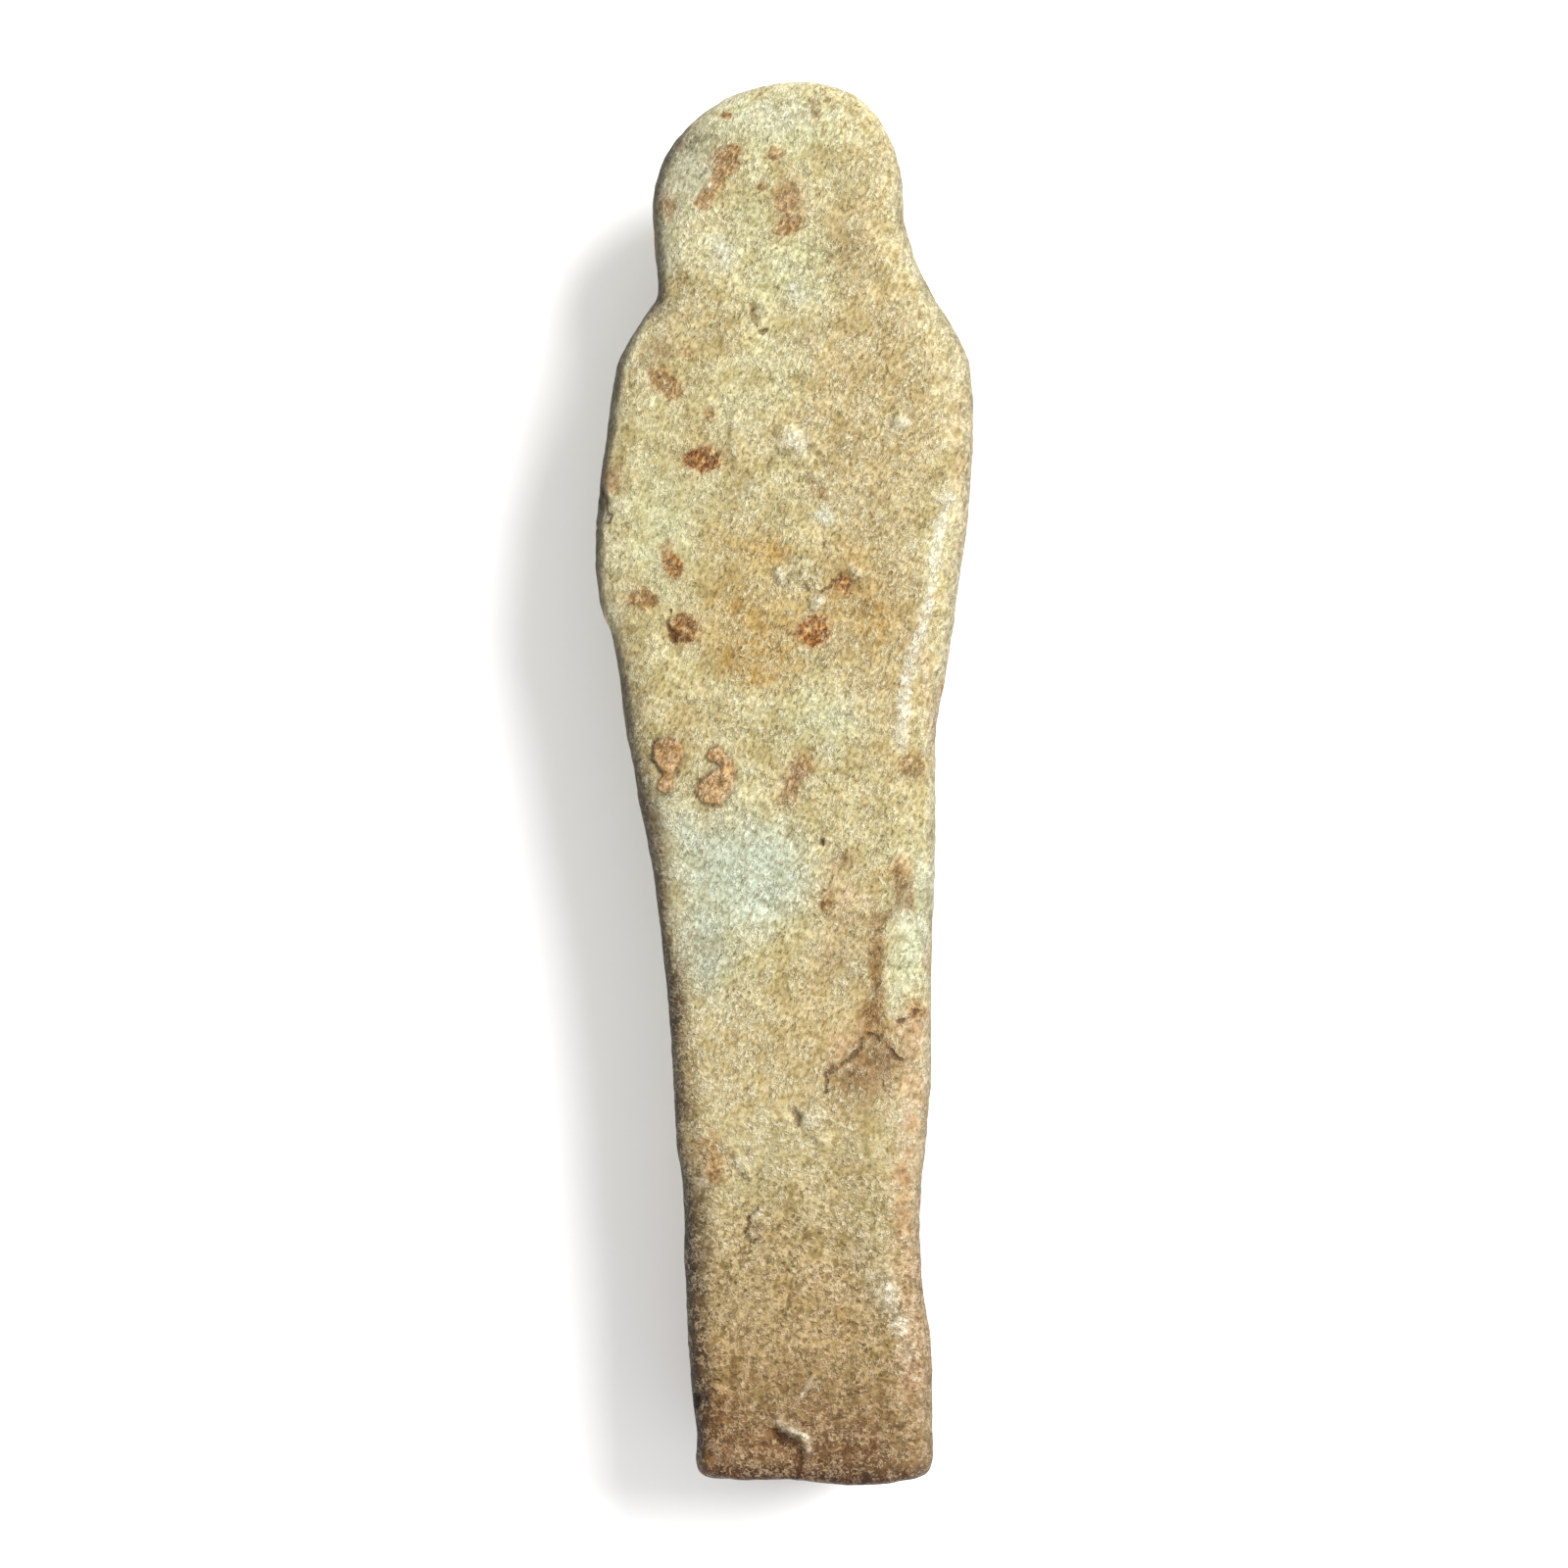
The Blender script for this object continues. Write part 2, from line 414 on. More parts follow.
        (-0.4, 39.7, 0.25, 0.3, 0, 0.5), (1.6, -43.5, 0.22, 1.0, -40, 0.75), (-5.5, 43.3, 0.3, 0.35, 0, 0.9),
        (3.0, 19.3, 0.5, 0.5, 0, 0.75), (2.4, 13.2, 0.35, 0.6, -40, 0.8), (-8.4, -0.1, 0.3, 0.35, 0, 0.7),
        (8.7, 26.2, 0.6, 0.5, 0, 0.7), (7.6, -36.7, 0.8, 1.2, 0, 0.55), (8.3, -38.8, 0.6, 1.2, 20, 0.5),
        (7.8, -37.8, 1.3, 2.8, 15, 0.15), (8.7, -24.8, 0.5, 2.2, 0, 0.55), (1.8, -24.4, 0.7, 0.5, 30, 0.5),
        (-2.0, -30.8, 0.5, 0.4, 0, 0.5), (-2.1, -32.1, 0.4, 0.7, -15, 0.35), (9.0, -41.2, 0.7, 1.5, 20, 0.5),
        (0.3, 24.9, 0.4, 0.4, 0, 0.8),
    ),
    "rubbedSmooth": (  # where the grain shows less
        (-9.0, 19.0, 4.5, 12.0, 0, 1.0), (-3.8, -6.2, 4.4, 4.0, 0, 0.6), (-0.5, 42.0, 8.0, 6.0, 0, 0.5),
        (9.4, -9.6, 1.8, 5.6, -6, 0.6), (2.0, -49.0, 14.0, 8.0, 0, 1.3),
    ),
    "sideBand": (  # dirt along the left side, wider towards the feet
        (-10.8, 3.0, 1.1, 9.0, 8, 0.75), (-8.9, -15.5, 1.3, 6.0, 5, 1.0), (-6.9, -34.0, 1.6, 8.0, 0, 1.25),
        (-6.4, -45.0, 1.2, 5.0, 0, 1.0), (-7.8, 46.4, 0.9, 3.0, -30, 0.75), (-9.2, 38.0, 0.8, 3.6, 0, 0.4),
        (-9.6, -5.0, 1.2, 4.5, 5, 0.75), (-9.6, 35.0, 1.5, 1.8, 0, 0.85), (-6.1, 46.7, 0.5, 1.4, -50, 0.6),
        (-8.4, -15.5, 1.3, 3.4, 3, 0.7), (-7.2, -22.8, 1.1, 2.6, 3, 0.4),
    ),
}

# The front and the sides, which the photo doesn't show

unseen = {
    "spots": 46,
    "spotSeed": 7,
    "spotSizes": (0.3, 1.2),
    "spotStrength": 0.75,
    "facesDown": 0.1,
    "face": (0, 39.0, 3.0),  # kept clear of spots
    "faceReach": 6,
    "glaze": 0.9,
    "glazePatterns": ((7.0, 21, 1.0), (2.5, 22, 0.5)),  # size, seed and share
    "glazeEdge": (0.0, 0.7),
}

# Dirt on the walls thins out downwards and lies in patches

walls = {
    "waver": (2.5, 3.0, 31),  # amount, size and seed of its lower edge
    "dirtHeights": (7.5, 15.0),  # millimetres over the floor
    "patterns": ((4.5, 33, 1.0), (1.5, 34, 0.4)),
    "patchEdge": (-0.25, 0.3),
    "patchShare": 0.6,
    "patchHeights": (15.2, 13.5),
    "leastDirt": 0.3,
    "facesUp": (-0.9, -0.2),
    "leftFaces": (0.55, 1.05),
    "leftLean": 0.2,  # how far that side counts towards the head too
    "footFaces": (0.2, 0.9),
    "footPlaces": (-44, -48),  # millimetres up the figure
    "steepFaces": (0.55, 1.0),
    "rightFaces": (0.1, 0.5),
    "crownPlaces": (50, 42),
    "bandFaces": (-0.7, 0.2),
}


def addMask(name, values):
    mesh.attributes.new(name, "FLOAT", "POINT").data.foreach_set("value", values.astype(np.float32))


def zones(name):
    return sum(amount * np.exp(-(ovalDistance(ragged, *oval) ** 2)) for *oval, amount in marks[name])


def onBackOnly(reach, farOff=-2):  # how far inside an oval, and far off wherever the back ends
    return np.maximum(reach, farOff) * onBack + farOff * (1 - onBack)


def mixedDrift(patterns):
    return sum(share * drift(millimetres, size, seed) for size, seed, share in patterns)


reach = np.array([1 - ovalDistance(ragged, *oval) for *oval, amount in marks["ironSpots"]])
strength = np.array([amount for *oval, amount in marks["ironSpots"]])[reach.argmax(0)]
iron = onBackOnly(reach.max(0))
face = np.linalg.norm(millimetres - unseen["face"], axis=1) < unseen["faceReach"]
free = np.flatnonzero((normals[:, 2] < unseen["facesDown"]) & ~face)
hidden = np.random.default_rng(unseen["spotSeed"]).choice(free, unseen["spots"], replace=False)
for i, size in zip(hidden, np.linspace(*unseen["spotSizes"], len(hidden))):
    inSpot = 1 - np.linalg.norm(millimetres - millimetres[i], axis=1) / size
    strength = np.where(inSpot > iron, unseen["spotStrength"], strength)
    iron = np.maximum(iron, inSpot)
addMask("ironSpots", iron)
addMask("ironStrength", strength)
addMask("flakes", onBackOnly(np.max([1 - ovalDistance(ragged, *oval) for oval in relief["flakes"]], 0)))
for name in ("warmPaste", "lowPaste", "deepBrown"):
    addMask(name, zones(name))
for name in ("greyVeil", "paleBlue", "mint", "ochre", "brownSoil", "pinkPaste", "rubbedSmooth"):
    addMask(name, zones(name) * onBack)
glazeLeft = unseen["glaze"] * fade(mixedDrift(unseen["glazePatterns"]), *unseen["glazeEdge"]) * (1 - onBack)
addMask("turquoise", zones("turquoise") * onBack + glazeLeft)
addMask("whiteCrust", np.maximum(1.0 - crust / relief["crustEdge"][0], zones("crustSpots")) * onBack)
addMask("cracks", np.clip(crack, 0, 1) * onBack)

waver, waverSize, waverSeed = walls["waver"]
waveringHeight = millimetres[:, 2] + waver * drift(millimetres, waverSize, waverSeed)
nearBack = fade(waveringHeight, *walls["dirtHeights"])
barePatches = fade(mixedDrift(walls["patterns"]), *walls["patchEdge"])
leastDirt = walls["leastDirt"]
upperSide = fade(normals[:, 2], *walls["facesUp"]) * (leastDirt + (1 - leastDirt) * nearBack)
upperSide *= 1 - walls["patchShare"] * barePatches * fade(millimetres[:, 2], *walls["patchHeights"])
leftward = fade(walls["leftLean"] * normals[:, 1] - normals[:, 0], *walls["leftFaces"]) * upperSide
footward = fade(-normals[:, 1], *walls["footFaces"])
footward *= fade(millimetres[:, 1], *walls["footPlaces"]) * upperSide
outward = fade(np.hypot(normals[:, 0], normals[:, 1]), *walls["steepFaces"])
outward *= fade(normals[:, 0], *walls["rightFaces"])
outward *= fade(millimetres[:, 1], *walls["crownPlaces"]) * upperSide * (1 - footward)
addMask("rimSoil", leftward)
addMask("sideBand", zones("sideBand") * fade(normals[:, 2], *walls["bandFaces"]) * nearBack)
addMask("footSoil", footward)
addMask("edgeSoil", outward)

# Hollows and high places, from how far the surface stands off its own neighbourhood
readAfter = {16: "hollows", 90: "valleys"}  # steps of smoothing: the more, the broader the hollows
edges = np.empty(len(mesh.edges) * 2, np.int64)
mesh.edges.foreach_get("vertices", edges)
first, second = edges.reshape(-1, 2).T
degree = np.bincount(edges, minlength=count)[:, None]
soft = points.copy()
for step in range(1, max(readAfter) + 1):
    total = np.stack([
        np.bincount(first, soft[second, axis], count) + np.bincount(second, soft[first, axis], count)
        for axis in range(3)
    ], 1)
    soft = 0.5 * soft + 0.5 * total / degree
    if step in readAfter:
        sunk = np.einsum("ij,ij->i", soft - points, normals)
        addMask(readAfter[step], sunk / (2 * sunk.std()))
print("masks painted")


# Shader tools

def put(tree, kind, inputs=None, **settings):
    node = tree.nodes.new(kind)
    for key, value in settings.items():
        setattr(node, key, value)
    for key, value in (inputs or {}).items():
        if isinstance(value, bpy.types.NodeSocket):
            tree.links.new(value, node.inputs[key])
        else:
            node.inputs[key].default_value = value
    return node


def calculate(tree, operation, first, second=0.0):
    return put(tree, "ShaderNodeMath", {0: first, 1: second}, operation=operation).outputs[0]


def remap(tree, value, low, high, to=(0.0, 1.0)):
    steps = {"Value": value, "From Min": low, "From Max": high, "To Min": to[0], "To Max": to[1]}
    return put(tree, "ShaderNodeMapRange", steps, interpolation_type="SMOOTHSTEP").outputs[0]


def blendColours(tree, amount, under, over, way="MIX"):
    inputs = {0: amount, 6: under, 7: over}
    return put(tree, "ShaderNodeMix", inputs, data_type="RGBA", blend_type=way).outputs[2]


def noiseAt(tree, vector, scale, detail, roughness=0.6, **more):
    inputs = {"Vector": vector, "Scale": scale, "Detail": detail, "Roughness": roughness, **more}
    return put(tree, "ShaderNodeTexNoise", inputs).outputs["Fac"]


def newGroup(name, inputs, outputs):
    tree = bpy.data.node_groups.new(name, "ShaderNodeTree")
    for label, kind, value in inputs:
        socket = tree.interface.new_socket(label, in_out="INPUT", socket_type=kind)
        if value is not None:
            socket.default_value = value
    for label in outputs:
        tree.interface.new_socket(label, in_out="OUTPUT", socket_type="NodeSocketFloat")
    return tree, tree.nodes.new("NodeGroupInput").outputs, tree.nodes.new("NodeGroupOutput").inputs


def patchGroup():  # turns a soft mask into a patch with broken edges
    tree, given, made = newGroup("brokenPatch", (
        ("Amount", "NodeSocketFloat", 0.0), ("Break", "NodeSocketFloat", 0.5),
        ("Raggedness", "NodeSocketFloat", 0.5), ("Edge", "NodeSocketFloat", 0.4),
        ("Softness", "NodeSocketFloat", 0.2),
    ), ("Mask",))
    fromMiddle = calculate(tree, "SUBTRACT", given["Break"], 0.5)
    uneven = calculate(tree, "MULTIPLY", fromMiddle, given["Raggedness"])
    amount = calculate(tree, "ADD", given["Amount"], uneven)
    low = calculate(tree, "SUBTRACT", given["Edge"], given["Softness"])
    high = calculate(tree, "ADD", given["Edge"], given["Softness"])
    tree.links.new(remap(tree, amount, low, high), made["Mask"])
    return tree


quartz = {  # sizes are shares of the grain scale, brushed and then coarse
    "speckleSizes": (1.0, 0.75),
    "speckleDetail": 3.0,
    "speckleRoughness": 0.7,
    "windingSizes": (0.75, 0.48),
    "windingBends": (1.0, 1.2),
    "patchSize": 0.2,
    "curlEdge": (0.1, 0.02),
    "curlGrains": (0.38, 0.56),
    "curlPatches": (0.36, 0.60),
    "gapEdge": (0.42, 0.30),
    "gapGrains": (0.54, 0.40),
    "curlRise": 0.7,
    "gapFall": 0.6,
}


def grainGroup():  # crushed quartz: light curls of grains, dark gaps and the height they make
    tree, given, made = newGroup("quartzGrain", (
        ("Vector", "NodeSocketVector", None), ("Slanted", "NodeSocketVector", None),
        ("Scale", "NodeSocketFloat", 3600.0), ("Coarseness", "NodeSocketFloat", 0.0),
    ), ("Speckle", "Curls", "Gaps", "Height"))

    def times(first, second):
        return calculate(tree, "MULTIPLY", first, second)

    def twoWays(sizes, *settings, bends=(0.0, 0.0)):  # slanted grains, and coarse ones without a direction
        brushed, coarse = (
            noiseAt(tree, given[way], times(given["Scale"], size), *settings, Distortion=bend)
            for way, size, bend in zip(("Slanted", "Vector"), sizes, bends)
        )
        inputs = {0: given["Coarseness"], 2: brushed, 3: coarse}
        return put(tree, "ShaderNodeMix", inputs, data_type="FLOAT").outputs[0]

    speckle = twoWays(quartz["speckleSizes"], quartz["speckleDetail"], quartz["speckleRoughness"])
    winding = twoWays(quartz["windingSizes"], 1.0, bends=quartz["windingBends"])
    patchy = noiseAt(tree, given["Vector"], times(given["Scale"], quartz["patchSize"]), 1.0)
    away = calculate(tree, "ABSOLUTE", calculate(tree, "SUBTRACT", winding, 0.5))
    curls = times(remap(tree, away, *quartz["curlEdge"]), remap(tree, speckle, *quartz["curlGrains"]))
    curls = times(curls, remap(tree, patchy, *quartz["curlPatches"]))
    gaps = times(remap(tree, winding, *quartz["gapEdge"]), remap(tree, speckle, *quartz["gapGrains"]))
    rise = calculate(tree, "ADD", speckle, times(curls, quartz["curlRise"]))
    height = calculate(tree, "SUBTRACT", rise, times(gaps, quartz["gapFall"]))
    for name, value in (("Speckle", speckle), ("Curls", curls), ("Gaps", gaps), ("Height", height)):
        tree.links.new(value, made[name])
    return tree


finish = {
    "pasteLight": paint(221, 212, 164),
    "pasteDark": paint(202, 189, 136),
    "freckle": paint(172, 146, 98),
    "lowWash": (0.61, 0.48, 0.38, 1.0),  # washes darken what is under them
    "deepWash": (0.48, 0.32, 0.215, 1.0),
    "footWash": (0.46, 0.34, 0.30, 1.0),
    "blotchDark": (0.80, 0.76, 0.68, 1.0),
    "blotchLight": (1.14, 1.15, 1.18, 1.0),
    "fleckDark": (0.78, 0.74, 0.66, 1.0),
    "fleckLight": (1.25, 1.26, 1.26, 1.0),
    "valleyWash": (0.74, 0.68, 0.58, 1.0),
    "grainDark": (0.68, 0.63, 0.53, 1.0),
    "grainLight": (1.31, 1.32, 1.35, 1.0),
    "gap": paint(108, 86, 46),
    "curl": paint(246, 238, 202),
    "curlLow": paint(224, 196, 154),
    "rustDark": paint(115, 71, 28),
    "rust": paint(161, 106, 42),
    "rustLight": paint(216, 174, 114),
    "cloudWarm": paint(198, 178, 126),
    "cloudPale": paint(218, 214, 172),
    "stain": paint(188, 150, 100),
    "flakeDark": paint(172, 122, 76),
    "flakeLight": paint(210, 170, 116),
    "crust": paint(250, 244, 218),
    "crack": paint(92, 56, 22),
    "rim": paint(52, 41, 26),
    "side": paint(104, 82, 52),
    "edgeWash": (0.56, 0.55, 0.56, 1.0),
    "hollow": paint(150, 128, 88),
    "light": 2.02,  # how brightly the studio lights the back: colours above are given as they look
    "grainScale": 3800.0,
    "grainHeight": 0.0001,
    "slant": -28,  # degrees that the grains lean on the back
    "stretch": (1.0, 1.8, 1.0),  # and how much longer than wide they are
}
layers = (  # mask, colour, what breaks it, raggedness, edge, softness, share
    ("warmPaste", paint(203, 181, 130), "broad", 0.8, 0.5, 0.45, 0.8),
    ("greyVeil", paint(168, 174, 152), "broad", 0.6, 0.5, 0.4, 0.75),
    ("mint", paint(210, 210, 164), "broad", 0.8, 0.5, 0.45, 0.85),
    ("turquoise", paint(205, 218, 198), "broad", 0.7, 0.48, 0.5, 0.92),
    ("paleBlue", paint(216, 220, 202), "middle", 1.1, 0.45, 0.4, 0.65),
    ("pinkPaste", paint(206, 170, 134), "middle", 1.0, 0.5, 0.45, 0.85),
    ("ochre", paint(190, 152, 76), "middle", 1.1, 0.55, 0.5, 0.75),
    ("brownSoil", paint(146, 112, 66), "middle", 1.3, 0.55, 0.42, 0.8),
)
patches = {  # mask, what breaks it, raggedness, edge, softness
    "glazed": ("turquoise", "broad", 1.0, 0.5, 0.5),
    "sided": ("sideBand", "middle", 1.0, 0.6, 0.5),
    "rimmed": ("rimSoil", "middle", 0.6, 0.55, 0.45),
    "edged": ("edgeSoil", "fine", 0.8, 0.5, 0.45),
    "iron": ("ironSpots", "fine", 0.9, 0.04, 0.16),
    "flake": ("flakes", "fine", 0.4, 0.02, 0.08),
    "deep": ("deepBrown", "broad", 0.9, 0.5, 0.5),
    "lowered": ("lowPaste", "broad", 0.9, 0.5, 0.5),
    "footed": ("footSoil", "middle", 0.7, 0.5, 0.4),
    "crusted": ("whiteCrust", "middle", 1.0, 0.5, 0.5),
    "crustGrains": ("whiteCrust", "fine", 2.4, 0.60, 0.3),
    "cracked": ("cracks", "fine", 0.9, 0.84, 0.16),
}
ranges = {  # of a pattern or a mask: where an effect starts and where it is full
    "pasteTone": (0.36, 0.66),
    "warmClouds": (0.52, 0.68),
    "paleClouds": (0.48, 0.32),
    "freckles": (0.56, 0.72),
    "valleys": (0.0, 1.2),
    "hollows": (0.1, 1.3),
    "heights": (-0.1, -1.1),
    "ironStain": (-0.9, 0.1),
    "rustTone": (0.36, 0.56),
    "rustLights": (0.52, 0.70),
    "flakeTone": (0.36, 0.60),
    "flakeRim": (0.2, 0.05),
    "grainTone": (0.34, 0.66),
    "blotches": (0.40, 0.60),
    "flecks": (0.40, 0.60),
    "coarseGrain": (0.0, 0.5),
    "lowFlecks": (0.1, 0.8),
    "lowCurls": (0.2, 0.95),
    "lowWorms": (0.1, 1.0),
    "wormWidth": (0.05, 0.01),
    "wormPatches": (0.44, 0.56),
    "crustSpeckle": (0.38, 0.56),
}
shares = {  # how strongly each thing shows, and pairs for where a mask is none and full
    "warmClouds": 0.5,
    "paleClouds": 0.45,
    "freckles": 0.35,
    "valleys": 0.8,
    "hollows": 0.6,
    "heights": 0.4,
    "side": 0.9,
    "rim": 0.92,
    "iron": 0.95,
    "ironStain": 0.4,
    "flakeRim": 0.45,
    "flake": 0.85,
    "calm": (1.0, 0.75),  # this pair and the next two go by where the back is rubbed smooth
    "smoothGaps": (1.0, 0.55),
    "smoothCurls": (1.0, 0.66),
    "lowGaps": (0.25, 0.38),  # and these three by the mask of the low paste
    "lowCurls": (0.66, 0.98),
    "lowWorms": (0.15, 0.62),
    "grainless": 0.7,  # how far iron and flakes hide the grain
    "soiled": 0.6,
    "edged": 0.7,
    "covered": 0.9,
    "crusted": 0.3,
    "crustGrains": 0.85,
    "crack": 0.75,
}
patterns = {  # what breaks the patches: scale, detail and, where it isn't the usual, roughness
    "clouds": (170.0, 2.0),
    "broad": (380.0, 4.0, 0.65),
    "middle": (900.0, 3.0, 0.65),
    "fine": (1500.0, 2.0),
}
surface = {  # roughness, and how far each thing stands out in the bump
    "roughness": 0.74,
    "glazeGloss": 0.12,
    "crustGloss": 0.14,
    "ironRoughness": 0.1,
    "fineHeight": 0.8,
    "crustHeight": 0.3,
    "crackDepth": 1.4,
    "flakeHeight": 0.6,
    "reflection": 0.22,
}

broken, grains = patchGroup(), grainGroup()
faience = bpy.data.materials.new("weathered_faience")
faience.use_nodes = True
tree = faience.node_tree
shader = tree.nodes["Principled BSDF"]
place = put(tree, "ShaderNodeTexCoord").outputs["Object"]
slant = {"Vector": place, "Rotation": (0.0, 0.0, math.radians(finish["slant"])), "Scale": finish["stretch"]}
slanted = put(tree, "ShaderNodeMapping", slant, vector_type="TEXTURE").outputs[0]
breaks = {name: noiseAt(tree, place, *settings) for name, settings in patterns.items()}


def maskOf(name):
    return put(tree, "ShaderNodeAttribute", attribute_name=name).outputs["Fac"]


def patch(name, brokenBy, raggedness, edge, softness):
    inputs = {
        "Amount": maskOf(name), "Break": breaks[brokenBy],
        "Raggedness": raggedness, "Edge": edge, "Softness": softness,
    }
    return put(tree, "ShaderNodeGroup", inputs, node_tree=broken).outputs["Mask"]


def times(first, second):
    return calculate(tree, "MULTIPLY", first, second)


def plus(first, second):
    return calculate(tree, "ADD", first, second)


def minus(first, second):
    return calculate(tree, "SUBTRACT", first, second)


def more(first, second):
    return calculate(tree, "MAXIMUM", first, second)


def where(value, name):
    return remap(tree, value, *ranges[name])


def byMask(mask, name, low=0.0, high=1.0):
    return remap(tree, mask, low, high, shares[name])


def cover(under, over, amount, share=1.0, way="MIX"):
    if share != 1.0:
        amount = times(amount, share)
    return blendColours(tree, amount, under, over, way)


def wash(under, over, amount=1.0):
    return cover(under, over, amount, way="MULTIPLY")


def twoTones(value, name, dark, light):
    return blendColours(tree, where(value, name), dark, light)


sided, rimmed, edged, iron, flake, crusted, cracked = (
    patch(*patches[name]) for name in ("sided", "rimmed", "edged", "iron", "flake", "crusted", "cracked")
)
low, smooth, hollow = maskOf("lowPaste"), maskOf("rubbedSmooth"), maskOf("hollows")
grainInputs = {
    "Vector": place, "Slanted": slanted,
    "Scale": finish["grainScale"], "Coarseness": where(low, "coarseGrain"),
}
grain = put(tree, "ShaderNodeGroup", grainInputs, node_tree=grains).outputs

# Paste, glaze and stains
colour = twoTones(breaks["broad"], "pasteTone", finish["pasteDark"], finish["pasteLight"])
colour = cover(colour, finish["cloudWarm"], where(breaks["clouds"], "warmClouds"), shares["warmClouds"])
colour = cover(colour, finish["cloudPale"], where(breaks["clouds"], "paleClouds"), shares["paleClouds"])
layerMasks = {}
for name, tint, brokenBy, raggedness, edge, softness, share in layers:
    layerMasks[name] = patch(name, brokenBy, raggedness, edge, softness)
    colour = cover(colour, tint, layerMasks[name], share)
colour = cover(colour, finish["freckle"], where(breaks["fine"], "freckles"), shares["freckles"])
valleys = where(maskOf("valleys"), "valleys")
colour = cover(colour, finish["valleyWash"], valleys, shares["valleys"], "MULTIPLY")
colour = cover(colour, finish["hollow"], where(hollow, "hollows"), shares["hollows"])
colour = cover(colour, finish["curl"], where(hollow, "heights"), shares["heights"])
colour = cover(colour, finish["side"], sided, shares["side"])
colour = cover(colour, finish["rim"], rimmed, shares["rim"])
colour = wash(colour, finish["edgeWash"], edged)

# Iron spots with their stain, and flakes, both granular inside
inIron = twoTones(grain["Speckle"], "rustTone", finish["rustDark"], finish["rust"])
inIron = twoTones(grain["Speckle"], "rustLights", inIron, finish["rustLight"])
ironShare = times(maskOf("ironStrength"), shares["iron"])
ironStain = times(where(maskOf("ironSpots"), "ironStain"), ironShare)
colour = cover(colour, finish["stain"], ironStain, shares["ironStain"])
colour = cover(colour, inIron, times(iron, ironShare))
flakeRim = where(calculate(tree, "ABSOLUTE", maskOf("flakes")), "flakeRim")
colour = cover(colour, finish["crack"], flakeRim, shares["flakeRim"])
inFlake = twoTones(grain["Speckle"], "flakeTone", finish["flakeDark"], finish["flakeLight"])
colour = cover(colour, inFlake, flake, shares["flake"])

# Washes, then grain over everything so far
colour = wash(colour, finish["lowWash"], patch(*patches["lowered"]))
colour = wash(colour, finish["deepWash"], patch(*patches["deep"]))
colour = wash(colour, finish["footWash"], patch(*patches["footed"]))
calm = byMask(smooth, "calm")
grainTone = twoTones(grain["Speckle"], "grainTone", finish["grainDark"], finish["grainLight"])
colour = wash(colour, grainTone, calm)
mottle = times(plus(breaks["middle"], breaks["broad"]), 0.5)
colour = wash(colour, twoTones(mottle, "blotches", finish["blotchDark"], finish["blotchLight"]))
flecks = twoTones(breaks["fine"], "flecks", finish["fleckDark"], finish["fleckLight"])
colour = wash(colour, flecks, times(where(low, "lowFlecks"), calm))
hidesGrain = times(more(iron, flake), shares["grainless"])
gapShare = times(minus(1.0, more(hidesGrain, crusted)), byMask(low, "lowGaps"))
colour = cover(colour, finish["gap"], times(grain["Gaps"], times(gapShare, byMask(smooth, "smoothGaps"))))
soiled = times(more(sided, layerMasks["brownSoil"]), shares["soiled"])
covered = more(more(more(hidesGrain, rimmed), soiled), times(edged, shares["edged"]))
paleness = minus(1.0, times(covered, shares["covered"]))
curlTint = twoTones(low, "lowCurls", finish["curl"], finish["curlLow"])
curlShare = times(times(paleness, byMask(low, "lowCurls")), byMask(smooth, "smoothCurls"))
colour = cover(colour, curlTint, times(grain["Curls"], curlShare))
fromMiddle = calculate(tree, "ABSOLUTE", minus(breaks["fine"], 0.5))
worms = times(times(where(fromMiddle, "wormWidth"), where(breaks["middle"], "wormPatches")), calm)
colour = cover(colour, curlTint, times(worms, byMask(low, "lowWorms", *ranges["lowWorms"])))

# White crust and cracks
crustGrains = times(patch(*patches["crustGrains"]), where(grain["Speckle"], "crustSpeckle"))
colour = cover(colour, finish["crust"], crusted, shares["crusted"])
colour = cover(colour, finish["crust"], crustGrains, shares["crustGrains"])
colour = cover(colour, finish["crack"], cracked, shares["crack"])
dimmed = 1 / finish["light"]
colour = wash(colour, (dimmed, dimmed, dimmed, 1.0))
tree.links.new(colour, shader.inputs["Base Color"])

sheen = minus(surface["roughness"], times(patch(*patches["glazed"]), surface["glazeGloss"]))
sheen = plus(minus(sheen, times(crustGrains, surface["crustGloss"])), times(iron, surface["ironRoughness"]))
tree.links.new(sheen, shader.inputs["Roughness"])

rise = plus(grain["Height"], times(breaks["fine"], surface["fineHeight"]))
rise = plus(rise, times(crustGrains, surface["crustHeight"]))
rise = minus(rise, times(cracked, surface["crackDepth"]))
rise = plus(rise, times(flake, surface["flakeHeight"]))
bump = put(tree, "ShaderNodeBump", {"Strength": 1.0, "Distance": finish["grainHeight"], "Height": rise})
tree.links.new(bump.outputs["Normal"], shader.inputs["Normal"])
shader.inputs["Specular IOR Level"].default_value = surface["reflection"]
print("faience mixed")

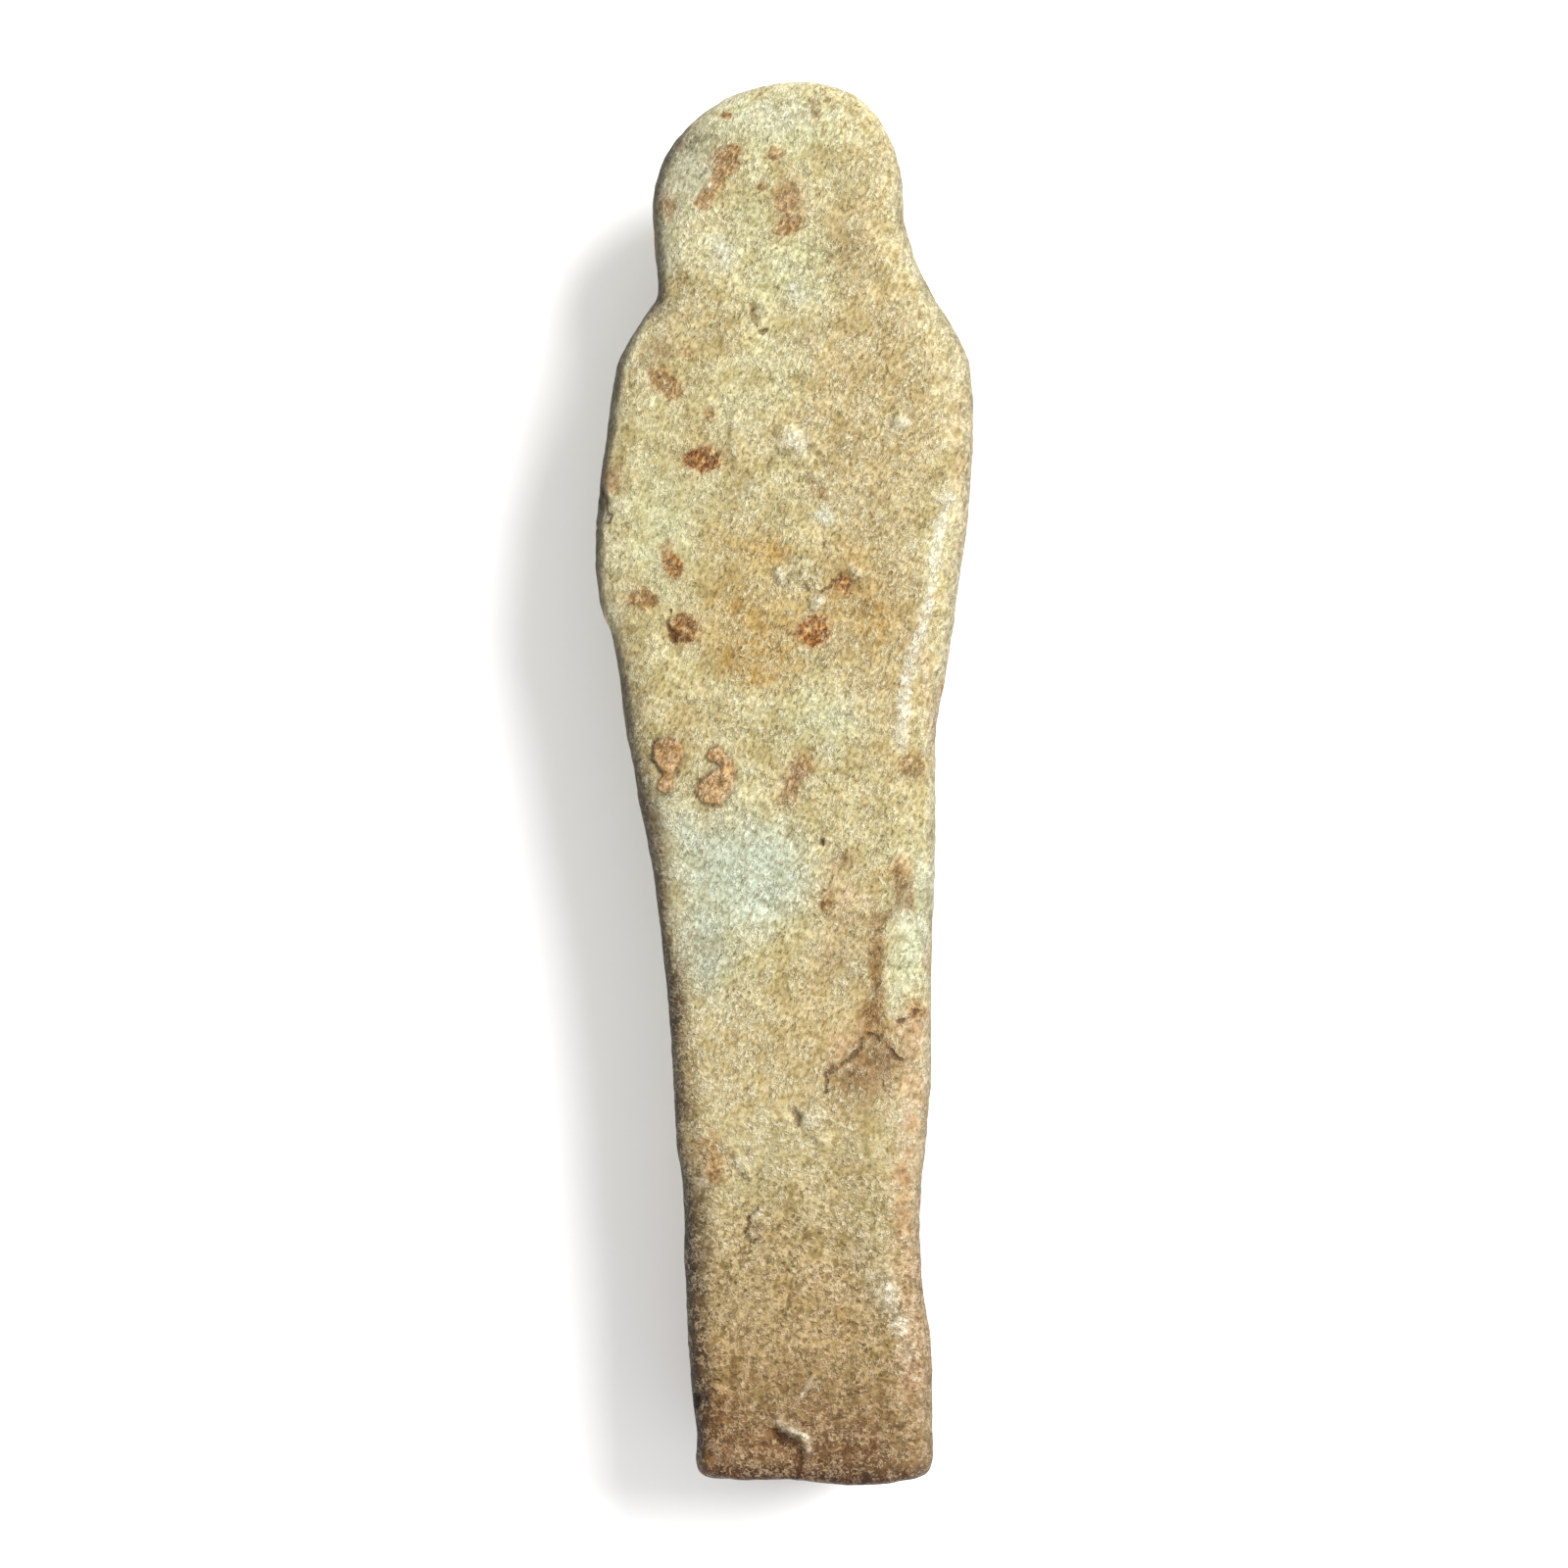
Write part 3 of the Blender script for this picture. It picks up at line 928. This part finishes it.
mesh.materials.clear()
mesh.materials.append(faience)
selectOnly(ushabti)
bpy.ops.object.shade_smooth()
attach(ushabti, "root")
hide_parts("ushabti")

# Floor, light and camera

studio = {
    "floorSize": 3.0,
    "floorColour": (0.93, 0.93, 0.93, 1.0),
    "floorRoughness": 0.9,
    "floorReflection": 0.1,
    "skyStrength": 0.93,
    "keyPlace": (0.43, 0.26, 0.54),
    "keyAim": (0, 0, 0.01),
    "keySize": 0.5,
    "keyPower": 11.0,
    "lens": 120.0,
    "sensor": 36,
    "frameWidth": 0.113956,  # what the picture spans where the outline is widest
    "outlineHeight": 0.01434,
    "middle": (-0.00005, -0.00002),
    "sight": (0.01, 10),
}

bpy.ops.object.select_all(action="DESELECT")
bpy.ops.mesh.primitive_plane_add(size=studio["floorSize"], location=(0, 0, 0))
floor = bpy.context.object
floor.name = "floor"
pale = bpy.data.materials.new("pale_floor")
pale.use_nodes = True
paleShader = pale.node_tree.nodes["Principled BSDF"]
paleShader.inputs["Base Color"].default_value = studio["floorColour"]
paleShader.inputs["Roughness"].default_value = studio["floorRoughness"]
paleShader.inputs["Specular IOR Level"].default_value = studio["floorReflection"]
floor.data.materials.append(pale)

sky = bpy.data.worlds.new("studio")
sky.use_nodes = True
sky.node_tree.nodes["Background"].inputs["Color"].default_value = (1.0, 1.0, 1.0, 1.0)
sky.node_tree.nodes["Background"].inputs["Strength"].default_value = studio["skyStrength"]
bpy.context.scene.world = sky

bpy.ops.object.light_add(type="AREA", location=studio["keyPlace"])
key = bpy.context.object
key.name = "key"
key.data.shape = "DISK"
key.data.size = studio["keySize"]
key.data.energy = studio["keyPower"]
key.rotation_euler = (Vector(studio["keyAim"]) - key.location).to_track_quat("-Z", "Y").to_euler()

cameraHeight = studio["outlineHeight"] + studio["frameWidth"] * studio["lens"] / studio["sensor"]
bpy.ops.object.camera_add(location=(*studio["middle"], cameraHeight), rotation=(0, 0, 0))
camera = bpy.context.object
camera.data.lens = studio["lens"]
camera.data.sensor_width = studio["sensor"]
camera.data.clip_start, camera.data.clip_end = studio["sight"]
bpy.context.scene.camera = camera
print("studio set")
